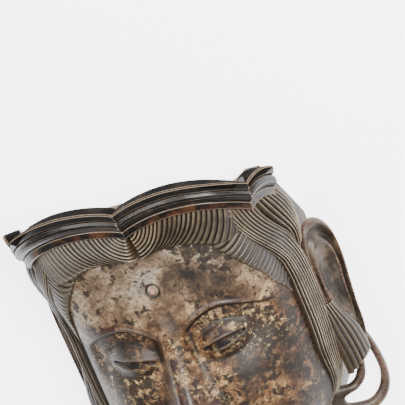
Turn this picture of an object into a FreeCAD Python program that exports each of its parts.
"""Carved procession mask of a bodhisattva, in joined blocks of hinoki cypress, hollowed at the back.

Millimetres. The mask lies on its back rim, face up: +X is the viewer's right, +Y the crown, +Z out of the
face. The origin is the middle of the bounding box in X and Y, on the plane of the rim.
The front is a shell over an egg-shaped outline. Flat joint planes part it into the face, two crown blocks and
two side blocks; locks, ears and crown band are pegged on from outside, and iron clamps hold the joints inside.
"""
import FreeCAD, Part
import math
import os

from FreeCAD import Vector

# ---- driving sizes of the head shell -------------------------------------------------------------------
CHIN_DROP = 112.0          # chin's lowest point, below the origin
CROWN_RISE = 112.0         # top of the crown band's lobes, above the origin
HEAD_HALF_WIDTH = 82.0     # head shell at the rim, without hair
HEAD_DEPTH = 89.0          # rim plane to the middle of the brow
JAW_FORWARD = 7.0          # how much further the lower face stands out
CROWN_BACK = 7.0           # how much the forehead slopes back towards the crown
FACE_WALL = 10.0           # wood left in front after hollowing
SIDE_WALL = 9.0            # wood left at the sides
PLAN_POWERS_FACE = (2.6, 2.5)    # 2 is an ellipse, more is squarer: across, and in depth
PLAN_POWERS_CROWN = (4.0, 3.5)
JAW_TAPER = (3.2, 2.2)     # powers of the outline's taper below the eyes
CHIN_ROUND = (5.5, 2.3)    # powers of the turn under the chin
CHIN_FLAT = 1.003          # leaves a small flat under the chin instead of a point
RIM_OVERRUN = 6.0          # surfaces run this far past the rim plane before they are cut to it
END_OVERRUN = 0.25         # and this far past their first and last row
ROW_POINTS = 72            # spline points across a row

# ---- joints between blocks -----------------------------------------------------------------------------
SIDE_JOINT_SHARE = 0.80    # flat joint planes, as a share of the half-width
JAW_JOINT_Y = -62.0        # side blocks stand on the jaw here
CORE_TOP = 102.0           # crown blocks end here, behind the band
SIDE_TOP = 90.0            # and side blocks here
HAIRLINE_MID = 67.5        # point of the hairline over the nose
HAIRLINE_HIGH = 70.5       # highest point of each half of it
HAIRLINE_SIDE = 60.0       # where it meets the side joint
RAKE_START_Y = 37.0        # behind the crown the rim rises in a slope that starts here
RAKE_TOP_Z = 46.0          # and is this high at the blocks' top end

# ---- hair: height range, thickness at the ends, extra thickness half way ---------------------------------
FRONT_ROLL = (58.0, 98.0, 2.0, 4.0)
SIDE_ROLL = (26.0, 82.0, 2.0, 9.5)
SIDE_ROLL_FOOT = 30.0      # it starts this high over the rim plane
TEMPLE_LOCK = (-76.0, 92.0, 2.0, 5.0)
LOCK_FRONT_SHARE, LOCK_BACK_SHARE = 0.905, 0.975   # edges of the temple lock across the head
LOCK_FAN = (0.19, 0.06)    # how far both edges swing to the front, up to the band
EAR_LOCK = (-14.0, -66.0)  # from and to, in height
EAR_LOCK_HALF = (11.0, 4.6)    # half-width and half-thickness
EAR_LOCK_TEETH = 4         # strands end in steps
TOOTH_STEP = 2.6

# ---- crown band ----------------------------------------------------------------------------------------
BAND_HEIGHT = 20.5
BAND_LOBE = 11.5           # rise of the front lobes over the line through the cusps
BAND_FALL = 10.5           # side cusps lie this much under the middle cusp
BAND_SIDE_LOBE = 4.0       # rise of the short lobes behind the side cusps
BAND_SIDE_DROP = 3.0       # their rear ends lie this much under the side cusps
BAND_GROW = 4.0            # path of the band outside the head shell
BAND_BITE = 5.5            # wood behind that path, fitted over the core
BAND_FLARE = 5.0           # extra stand-out at the top edge
BAND_CUSP = 0.80           # side cusps along each half of the band
BAND_END = 0.84            # rear ends along each half of the head's outline
BAND_PROFILE = (           # stand-out and height of the three mouldings, as shares of the band's height
    (4.6, 0.00), (5.6, 0.04), (5.4, 0.27), (4.6, 0.31), (6.0, 0.34), (7.4, 0.42), (7.9, 0.51),
    (7.5, 0.60), (6.3, 0.68), (5.2, 0.71), (6.6, 0.75), (7.2, 0.96), (6.4, 1.00))

# ---- ears, in the plane of the auricle: distance behind its front edge, and height --------------------------
EAR_FRONT = (4.0, 36.0)    # front edge: outside the head shell, above the rim plane
EAR_BACK = (20.0, 14.0)    # back edge, the same way
EAR_THICK = 7.0
EAR_OUTLINE = ((0, 10), (1, 25), (5, 36), (12, 41), (20, 38), (26, 27), (27, 10), (25, -8), (23, -26),
               (22, -42), (18, -55), (10, -57), (6, -46), (3, -30), (0, -11))
CONCHA_OUTLINE = ((6, 10), (7, 22), (11, 31), (16, 32), (20, 23), (20, 7), (16, -9), (11, -19), (7, -8))
CONCHA_DEPTH = 3.2
LOBE_FRONT = (-22.0, 38.0) # the hanging lobe turns to face forward: front edge and back edge of its plane
LOBE_BACK = (20.0, 17.0)
LOBE_THICK = 7.0
LOBE_OUTLINE = ((28, -40), (40, -42), (45, -58), (46, -76), (42, -89), (32, -97), (18, -97), (4, -91),
                (-6, -83), (-4, -74), (8, -73), (20, -75), (27, -69), (30, -56))
LOBE_HOLE = ((35, -52), (40, -56), (41, -74), (36, -85), (27, -90), (16, -88), (13, -83), (22, -81),
             (31, -75), (35, -64))

# ---- face ----------------------------------------------------------------------------------------------
EYE_HALF_SPACING = 31.0
PUPIL_HALF_WIDTH, PUPIL_HALF_HEIGHT = 3.6, 1.8
BROW_Y = 22.0
NOSE_BASE_Y, NOSE_TIP_Y, NOSE_HEIGHT = -45.0, -36.0, 19.0
NOSTRIL_RADIUS, NOSTRIL_X = 2.0, 6.5
MOUTH_Y = -66.0
URNA_Y, URNA_RADIUS, URNA_DEPTH = 44.0, 5.6, 3.0
PLUG_RADIUS, PLUG_LENGTH = 1.8, 6.0

# ---- fastenings ----------------------------------------------------------------------------------------
PEG_RADIUS, PEG_LENGTH = 1.6, 13.0
DOWEL_RADIUS, DOWEL_LENGTH = 2.5, 15.0
CORD_HOLE_RADIUS, CORD_HOLE_Y, CORD_HOLE_Z = 2.0, 30.0, 5.5
CLAMP_SPAN, CLAMP_WIDTH, CLAMP_BAR, CLAMP_LEG = 22.0, 4.0, 2.0, 6.0

SIDE_JOINT_X = SIDE_JOINT_SHARE * HEAD_HALF_WIDTH
TALL = 3.0 * HEAD_DEPTH    # taller than anything here
OUT = "parts"


# ---- the head's form -----------------------------------------------------------------------------------
def smooth(t):
    """0 to 1, with level ends."""
    t = min(1.0, max(0.0, t))
    return t * t * (3.0 - 2.0 * t)


def bump(x, y, x0, y0, rx, ry):
    return math.exp(-((x - x0) / rx) ** 2 - ((y - y0) / ry) ** 2)


def half_width(y, grow):
    """Half-width of the shell at the rim."""
    if y >= 0.0:
        return HEAD_HALF_WIDTH + grow
    share = (-y / (CHIN_FLAT * (CHIN_DROP + min(grow, 0.0)))) ** JAW_TAPER[0]
    return (HEAD_HALF_WIDTH + grow) * (1.0 - share) ** (1.0 / JAW_TAPER[1])


def mid_depth(y, grow):
    """Depth of the shell on the middle line, without features."""
    depth = HEAD_DEPTH + grow + JAW_FORWARD * smooth((-y - 15.0) / 70.0)
    if y >= 0.0:
        return depth - CROWN_BACK * smooth((y - 10.0) / 70.0)
    share = (-y / (CHIN_FLAT * (CHIN_DROP + min(grow, 0.0)))) ** CHIN_ROUND[0]
    return depth * (1.0 - share) ** (1.0 / CHIN_ROUND[1])


def depth_at(x, y, grow=0.0):
    """Height of the plain shell over the rim plane."""
    turn = smooth((y - 10.0) / 60.0)
    across = PLAN_POWERS_FACE[0] + (PLAN_POWERS_CROWN[0] - PLAN_POWERS_FACE[0]) * turn
    deep = PLAN_POWERS_FACE[1] + (PLAN_POWERS_CROWN[1] - PLAN_POWERS_FACE[1]) * turn
    share = min(1.0, abs(x) / half_width(y, grow))
    return mid_depth(y, grow) * (1.0 - share ** across) ** (1.0 / deep)


def relief(x, y):
    """Features of the face, as height added to the plain shell."""
    side = abs(x)
    down = smooth((18.0 - y) / (18.0 - NOSE_TIP_Y))
    under = smooth((y - NOSE_BASE_Y + 4.0) / 8.0)
    ridge = math.exp(-(x / (5.5 + 5.5 * down)) ** 2)
    height = (3.0 + (NOSE_HEIGHT - 3.0) * down) * ridge * under * smooth((34.0 - y) / 14.0)
    height += 8.0 * bump(side, y, 12.0, NOSE_BASE_Y + 6.0, 5.5, 6.0)
    brow = BROW_Y + 5.0 * math.sin(math.pi * min(1.0, side / 66.0))
    socket = smooth((brow - y) / 6.0) * smooth((y + 26.0) / 30.0) * smooth((side - 6.0) / 8.0)
    height -= 4.5 * socket * (1.0 - smooth((side - 52.0) / 16.0))
    height += 5.0 * bump(side, y, EYE_HALF_SPACING, 2.0, 16.0, 10.0)
    height += 3.0 * bump(side, y, 36.0, -38.0, 22.0, 22.0)
    height += 4.5 * bump(side, y, 0.0, MOUTH_Y + 4.0, 17.0, 4.4)
    height += 4.5 * bump(side, y, 0.0, MOUTH_Y - 5.0, 14.0, 4.8)
    height -= 2.2 * bump(side, y, 0.0, MOUTH_Y - 14.0, 18.0, 5.0)
    height += 4.0 * bump(side, y, 0.0, MOUTH_Y - 28.0, 20.0, 12.0)
    return height


def row(y, grow, carved):
    """Points across the shell at one height, from rim to rim."""
    half = half_width(y, grow)
    points = [Vector(-half, y, -RIM_OVERRUN)]
    for i in range(ROW_POINTS + 1):
        share = math.sin(math.pi / 2.0 * (2.0 * i / ROW_POINTS - 1.0))
        x = half * share
        z = depth_at(x, y, grow)
        if carved:
            z += relief(x, y) * smooth((1.0 - abs(share)) * 6.0)
        points.append(Vector(x, y, z))
    points.append(Vector(half, y, -RIM_OVERRUN))
    return points


def steps(low, high, pitch, tight_start=False):
    """Heights from low to high; a tight start crowds them where the chin turns under."""
    heights = []
    if tight_start:
        reach = 8.0 * pitch
        heights = [low + reach * (i / 10.0) ** 2 for i in range(10)]
        low += reach
    count = max(4, int(round((high - low) / pitch)))
    return heights + [low + (high - low) * i / count for i in range(count + 1)]


def solid_under(row_at, heights, floor):
    """Solid from a level floor up to the surface through the rows, with flat ends at the first and last height."""
    low, high = heights[0], heights[-1]
    past = [low - END_OVERRUN] + heights[1:-1] + [high + END_OVERRUN]
    surface = Part.BSplineSurface()
    surface.interpolate([row_at(y) for y in past])
    solid = surface.toShape().extrude(Vector(0, 0, -TALL))
    return solid.common(Part.makeBox(600.0, high - low, TALL, Vector(-300.0, low, floor)))


def block_under(heights, grow_at, carved=False):
    """Solid between the rim plane and the shell surface over these heights."""
    return solid_under(lambda y: row(y, grow_at(y), carved), heights, 0.0)


def swelling(low, high, edge, bulge):
    """Thickness of a roll of hair, as a function of height."""
    middle = (low + high) / 2.0
    reach = (high - low) / 2.0

    def grow(y):
        return edge + bulge * math.sqrt(max(0.0, 1.0 - ((y - middle) / reach) ** 2))

    return grow


def hair_volume(roll):
    low, high, edge, bulge = roll
    return block_under(steps(low, high, 4.0), swelling(low, high, edge, bulge))


# ---- small shape helpers -------------------------------------------------------------------------------
def slab(axis, low, high, reach=600.0):
    """A box that is bounded along one axis only."""
    size = {"x": reach, "y": reach, "z": reach}
    corner = {"x": -reach / 2.0, "y": -reach / 2.0, "z": -reach / 2.0}
    size[axis] = high - low
    corner[axis] = low
    return Part.makeBox(size["x"], size["y"], size["z"], Vector(corner["x"], corner["y"], corner["z"]))


def below_rake():
    """Everything behind the sloping part of the rim."""
    far = 120.0
    drop = RAKE_TOP_Z / (CORE_TOP - RAKE_START_Y)
    points = [Vector(-200.0, RAKE_START_Y, 0.0), Vector(-200.0, RAKE_START_Y + far, drop * far)]
    points += [Vector(-200.0, RAKE_START_Y + far, -20.0), Vector(-200.0, RAKE_START_Y, -20.0)]
    return prism(points, Vector(400.0, 0, 0))


def prism(points, direction, closed_spline=False):
    """Face inside a loop of points, pulled along a direction."""
    if closed_spline:
        curve = Part.BSplineCurve()
        curve.interpolate(points, PeriodicFlag=True)
        wire = Part.Wire(curve.toShape())
    else:
        wire = Part.makePolygon(points + [points[0]])
    return Part.Face(wire).extrude(direction)


def spline_band(inner, outer):
    """Prism along Z between two curves over the same heights, given as x and y pairs."""
    edges = []
    ends = []
    for pairs in (inner, outer):
        curve = Part.BSplineCurve()
        points = [Vector(x, y, -10.0) for x, y in pairs]
        curve.interpolate(points)
        edges.append(curve.toShape())
        ends.append((points[0], points[-1]))
    edges.append(Part.LineSegment(ends[0][0], ends[1][0]).toShape())
    edges.append(Part.LineSegment(ends[0][1], ends[1][1]).toShape())
    face = Part.Face(Part.Wire(Part.__sortEdges__(edges)))
    return face.extrude(Vector(0, 0, TALL))


def mirror(shape):
    return shape.mirror(Vector(0, 0, 0), Vector(1, 0, 0))


def cylinder(radius, length, start, direction):
    return Part.makeCylinder(radius, length, start, direction)


# ---- outlines that part the blocks ---------------------------------------------------------------------
def hairline(x):
    """Height of the hairline: two arches that meet in a point over the nose."""
    crest = 0.35 * SIDE_JOINT_X
    if x < crest:
        return HAIRLINE_MID + (HAIRLINE_HIGH - HAIRLINE_MID) * math.sin(math.pi / 2.0 * x / crest)
    return HAIRLINE_HIGH - (HAIRLINE_HIGH - HAIRLINE_SIDE) * smooth((x - crest) / (SIDE_JOINT_X - crest))


def crown_zone():
    """Right half of the head above the hairline, as far out as the side joint."""
    xs = [SIDE_JOINT_X * i / 24.0 for i in range(25)]
    low = [(x, hairline(x)) for x in xs]
    high = [(x, CORE_TOP) for x in xs]
    return spline_band(low, high)


def lock_zone():
    """Strip over the temple that the long lock covers."""
    low, high = TEMPLE_LOCK[0], TEMPLE_LOCK[1]
    heights = [low + (high - low) * i / 16.0 for i in range(17)]
    front = []
    back = []
    for y in heights:
        fan = smooth((y - 26.0) / (high - 30.0))
        front.append(((LOCK_FRONT_SHARE - LOCK_FAN[0] * fan) * half_width(y, 0.0), y))
        back.append((lock_back(y), y))
    return spline_band(front, back)


def lock_back(y):
    fan = smooth((y - 40.0) / 40.0)
    return (LOCK_BACK_SHARE - LOCK_FAN[1] * fan) * half_width(y, 0.0)


def side_roll_zone():
    low, high = SIDE_ROLL[0], SIDE_ROLL[1]
    heights = [low + (high - low) * i / 8.0 for i in range(9)]
    front = [(lock_back(y), y) for y in heights]
    back = [(HEAD_HALF_WIDTH + 40.0, y) for y in heights]
    return spline_band(front, back)


# ---- wooden blocks -------------------------------------------------------------------------------------
def hollow():
    """Space carved out behind the face, open at the back and at the top."""
    heights = steps(-CHIN_DROP + SIDE_WALL, CORE_TOP + 6.0, 6.0, tight_start=True)
    return solid_under(row_inside, heights, -1.0)


def row_inside(y):
    half = half_width(y, -SIDE_WALL)
    scale = (mid_depth(y, -SIDE_WALL) - (FACE_WALL - SIDE_WALL)) / mid_depth(y, -SIDE_WALL)
    points = [Vector(-half, y, -RIM_OVERRUN)]
    for i in range(25):
        x = half * math.sin(math.pi / 2.0 * (i / 12.0 - 1.0))
        points.append(Vector(x, y, scale * depth_at(x, y, -SIDE_WALL)))
    points.append(Vector(half, y, -RIM_OVERRUN))
    return points


def eye_opening(sign):
    """Pierced pupil: an oval hole straight through the wall."""
    z = depth_at(EYE_HALF_SPACING, 0.0)
    centre = Vector(sign * EYE_HALF_SPACING, -1.0, z - 40.0)
    oval = Part.Ellipse(centre, PUPIL_HALF_WIDTH, PUPIL_HALF_HEIGHT)
    return Part.Face(Part.Wire(oval.toShape())).extrude(Vector(0, 0, 80.0))


def nostril(sign):
    """Bored upward and inward from under the nose into the hollow."""
    z = depth_at(NOSTRIL_X, NOSE_BASE_Y) + 11.0
    start = Vector(sign * NOSTRIL_X, NOSE_BASE_Y - 14.0, z)
    return cylinder(NOSTRIL_RADIUS, 42.0, start, Vector(0.0, 0.62, -0.78))


def urna_centre():
    return Vector(0.0, URNA_Y, depth_at(0.0, URNA_Y))


def face_block(shell, crown):
    """Face from hairline to chin, with the jaw out to both sides."""
    middle = slab("x", -SIDE_JOINT_X, SIDE_JOINT_X)
    jaw = slab("y", -400.0, JAW_JOINT_Y)
    block = shell.common(middle.fuse(jaw)).cut([crown, mirror(crown)])
    centre = urna_centre()
    recess = cylinder(URNA_RADIUS, 20.0, centre - Vector(0, 0, URNA_DEPTH), Vector(0, 0, 1))
    cuts = [eye_opening(1), eye_opening(-1), nostril(1), nostril(-1), recess]
    return block.cut(cuts)


def crown_block(outer, hollow_space, zone):
    """Front roll of combed hair from the parting to the side joint, with the core behind the band."""
    return outer.fuse(hair_volume(FRONT_ROLL)).common(zone).cut(hollow_space)


def side_block(shell):
    """Wall of the head behind temple and cheek, with the cord hole over the ear."""
    block = shell.common(slab("x", SIDE_JOINT_X, 400.0)).common(slab("y", JAW_JOINT_Y, SIDE_TOP))
    return block.cut([cord_hole(), below_rake()])


def cord_hole():
    start = Vector(0.0, CORD_HOLE_Y, CORD_HOLE_Z)
    return cylinder(CORD_HOLE_RADIUS, 200.0, start, Vector(1, 0, 0))


# ---- hair laid over the blocks -------------------------------------------------------------------------
def side_roll(under):
    """Roll of hair that stands out over the ear."""
    roll = hair_volume(SIDE_ROLL).common(side_roll_zone())
    return roll.common(slab("z", SIDE_ROLL_FOOT, TALL)).cut(under + [below_rake()])


def temple_lock(under):
    """Long lock from under the band, over temple and cheek, to the jaw."""
    return hair_volume(TEMPLE_LOCK).common(lock_zone()).cut(under)


def ear_lock(under):
    """Bundle of strands that leaves the temple lock, crosses the ear and ends in steps."""
    high, low = EAR_LOCK
    wires = []
    for i in range(7):
        t = i / 6.0
        y = high + (low - high) * t
        out = LOCK_BACK_SHARE * half_width(y, 0.0)
        x = out + 4.0 + 12.0 * t
        z = depth_at(out, y) + 3.0 - 6.0 * t
        half = EAR_LOCK_HALF[0] * (0.55 + 0.45 * smooth(2.0 * t))
        thick = EAR_LOCK_HALF[1]
        points = []
        for k in range(12):
            turn = 2.0 * math.pi * k / 12.0
            a, b = half * math.cos(turn), thick * math.sin(turn)
            points.append(Vector(x + 0.68 * a + 0.73 * b, y, z - 0.73 * a + 0.68 * b))
        curve = Part.BSplineCurve()
        curve.interpolate(points, PeriodicFlag=True)
        wires.append(Part.Wire(curve.toShape()))
    bundle = Part.makeLoft(wires, True, False)
    teeth = []
    for i in range(EAR_LOCK_TEETH):
        edge = x - 0.68 * half + 1.36 * half * i / EAR_LOCK_TEETH
        teeth.append(Part.makeBox(60.0, 30.0, TALL, Vector(edge, low - 30.0 + TOOTH_STEP * i, -10.0)))
    return bundle.cut(under + teeth)


# ---- ears ----------------------------------------------------------------------------------------------
def leaf(points, front, back, start, thick):
    """Outline in an upright plane from its front edge to its back edge, given thickness along its normal."""
    along = Vector(back[0] - front[0], 0.0, back[1] - front[1]).normalize()
    normal = Vector(-along.z, 0.0, along.x)
    origin = Vector(HEAD_HALF_WIDTH + front[0], 0.0, front[1]) + normal * start
    loop = [origin + along * u + Vector(0, y, 0) for u, y in points]
    return prism(loop, normal * thick, closed_spline=True)


def ear_root():
    """Wood between the auricle and the side block."""
    x = HEAD_HALF_WIDTH
    profile = ((x - 9.0, 3.0), (x - 9.0, 30.0), (x + 2.0, 32.0), (x + EAR_BACK[0] - 7.0, 12.0), (x + 6.0, 3.0))
    loop = [Vector(a, -32.0, b) for a, b in profile]
    return prism(loop, Vector(0, 54.0, 0))


def ear(under):
    """Long ear with a pierced, hanging lobe that turns in to the jaw."""
    shape = leaf(EAR_OUTLINE, EAR_FRONT, EAR_BACK, -EAR_THICK, EAR_THICK)
    shape = shape.cut(leaf(CONCHA_OUTLINE, EAR_FRONT, EAR_BACK, -CONCHA_DEPTH, 20.0))
    lobe = leaf(LOBE_OUTLINE, LOBE_FRONT, LOBE_BACK, -LOBE_THICK, LOBE_THICK)
    lobe = lobe.cut(leaf(LOBE_HOLE, LOBE_FRONT, LOBE_BACK, -30.0, 60.0))
    shape = shape.fuse([lobe, ear_root()])
    return shape.common(slab("z", 1.0, TALL)).cut(under)


# ---- crown band ----------------------------------------------------------------------------------------
def band_bottom(t):
    """Height of the lower edge, for t from the middle to the rear end, before it is levelled to the crown."""
    if t <= BAND_CUSP:
        share = t / BAND_CUSP
        return -BAND_FALL * share + BAND_LOBE * max(0.0, math.sin(math.pi * share)) ** 0.8
    share = (t - BAND_CUSP) / (1.0 - BAND_CUSP)
    return -BAND_FALL + BAND_SIDE_LOBE * max(0.0, math.sin(math.pi * share)) ** 0.8 - BAND_SIDE_DROP * share


def band_point(t, out, y):
    """Point on the band: t along its path, out of the path, at a height."""
    def path(turn):
        x = (HEAD_HALF_WIDTH + BAND_GROW) * math.sin(turn)
        return Vector(x, 0.0, depth_at(x, CORE_TOP, BAND_GROW))

    turn = math.pi / 2.0 * BAND_END * t
    tangent = path(turn + 0.002) - path(turn - 0.002)
    normal = Vector(-tangent.z, 0.0, tangent.x).normalize()
    if t == 0.0:
        normal = Vector(0, 0, 1)
    if normal.z < 0.0:
        normal = normal * -1.0
    return path(turn) + normal * out + Vector(0, y, 0)


def band_piece(start, end, count, under):
    """One length of the band between two joints."""
    peak = max(band_bottom(i / 400.0) for i in range(401)) + BAND_HEIGHT
    wires = []
    for i in range(count + 1):
        t = start + (end - start) * i / count
        low = band_bottom(t) + CROWN_RISE - peak
        loop = [band_point(t, -BAND_BITE, low)]
        for out, rise in BAND_PROFILE:
            loop.append(band_point(t, out + BAND_FLARE * rise - 1.0, low + BAND_HEIGHT * rise))
        loop.append(band_point(t, -BAND_BITE + BAND_FLARE, low + BAND_HEIGHT))
        wires.append(Part.makePolygon(loop + [loop[0]]))
    return Part.makeLoft(wires, True, False).cut(under)


# ---- fastenings ----------------------------------------------------------------------------------------
def band_pegs():
    """Bamboo pegs driven from the hollow through the crown blocks into the band."""
    pegs = []
    for x, y in ((14.0, 94.0), (44.0, 98.0)):
        z = depth_at(x, y) - FACE_WALL - 1.5
        pegs.append(cylinder(PEG_RADIUS, PEG_LENGTH + 2.0, Vector(x, y, z), Vector(0, 0, 1)))
    return pegs


def lock_pegs():
    """Bamboo pegs driven from the hollow through the side blocks into the temple locks."""
    pegs = []
    x = 0.5 * (LOCK_FRONT_SHARE + LOCK_BACK_SHARE) * HEAD_HALF_WIDTH
    for y in (18.0, -34.0):
        foot = Vector(x + 1.0, y, depth_at(x, y) + 2.0)
        direction = Vector(0.8, 0.0, 0.6)
        pegs.append(cylinder(PEG_RADIUS, PEG_LENGTH + 1.0, foot - direction * PEG_LENGTH, direction))
    return pegs


def ear_dowels():
    """Round dowels that hold the ear on the side block."""
    dowels = []
    for y in (14.0, -20.0):
        start = Vector(HEAD_HALF_WIDTH - SIDE_WALL - 1.0, y, 12.0)
        dowels.append(cylinder(DOWEL_RADIUS, DOWEL_LENGTH, start, Vector(1, 0, 0)))
    return dowels


def joint_clamps():
    """Iron staples inside, across the joint between the face and the side block."""
    clamps = []
    for y in (30.0, 3.0, -24.0):
        half = half_width(y, -SIDE_WALL)
        low_x = SIDE_JOINT_X - 0.31 * CLAMP_SPAN
        high_x = min(SIDE_JOINT_X + 0.25 * CLAMP_SPAN, 0.985 * half)
        a = Vector(low_x, y, depth_at(low_x, y, -SIDE_WALL) - 1.0)
        b = Vector(high_x, y, depth_at(high_x, y, -SIDE_WALL) - 1.0)
        along = (b - a).normalize()
        inward = Vector(along.z, 0.0, -along.x)
        across = Vector(0, CLAMP_WIDTH, 0)
        bar = prism([a, b, b + inward * CLAMP_BAR, a + inward * CLAMP_BAR], across)
        legs = []
        for end, step in ((a, along), (b, along * -1.0)):
            tip = end - inward * CLAMP_LEG
            legs.append(prism([end, end + step * CLAMP_BAR, tip + step * CLAMP_BAR, tip], across))
        clamps.append(bar.fuse(legs).removeSplitter())
    return clamps


def urna_plug():
    """Stub left in the middle of the empty setting on the forehead."""
    start = urna_centre() - Vector(0, 0, URNA_DEPTH + PLUG_LENGTH - 1.2)
    return cylinder(PLUG_RADIUS, PLUG_LENGTH, start, Vector(0, 0, 1))


# ---- assembly ------------------------------------------------------------------------------------------
def save(name, shape):
    solids = [s for s in shape.Solids if s.Volume > 1.0]
    result = solids[0] if len(solids) == 1 else Part.makeCompound(solids)
    result.exportStep(os.path.join(OUT, name + ".step"))
    print(f"{name}: {len(solids)} solid(s), {result.Volume / 1000.0:.2f} cm3, valid {result.isValid()}")


def save_pair(name, shape):
    save(name + "_right", shape)
    save(name + "_left", mirror(shape))


def main():
    os.makedirs("parts", exist_ok=True)
    outer = block_under(steps(-CHIN_DROP, CORE_TOP, 3.2, tight_start=True), lambda y: 0.0, carved=True)
    space = hollow()
    shell = outer.cut(space)
    zone = crown_zone()
    pegs = band_pegs()
    pins = lock_pegs()
    dowels = ear_dowels()
    clamps = joint_clamps()
    plug = urna_plug()
    inner = pegs + pins + dowels + clamps
    both = clamps + pins + [mirror(s) for s in clamps + pins]
    save("face_block", face_block(shell, zone).cut([plug] + both))
    save("urna_plug", plug)
    crown = crown_block(outer, space, zone)
    wall = side_block(shell)
    roll = side_roll([outer])
    lock = temple_lock([outer, crown])
    bundle = ear_lock([outer, lock])
    auricle = ear([outer, lock, bundle, roll])
    save_pair("crown_block", crown.cut(inner))
    save_pair("side_block", wall.cut(inner))
    save_pair("side_roll", roll)
    save_pair("temple_lock", lock.cut(pins))
    save_pair("ear_lock", bundle.cut(pins))
    save_pair("ear", auricle.cut(dowels + pins))
    behind = [outer, crown, roll, lock]
    save_pair("crown_band_front", band_piece(0.0, BAND_CUSP, 20, behind + pegs))
    save_pair("crown_band_side", band_piece(BAND_CUSP, 1.0, 6, behind + pegs + [below_rake()]))
    save_pair("band_pegs", Part.makeCompound(pegs))
    save_pair("lock_pegs", Part.makeCompound(pins))
    save_pair("ear_dowels", Part.makeCompound(dowels))
    save_pair("joint_clamps", Part.makeCompound(clamps))


main()
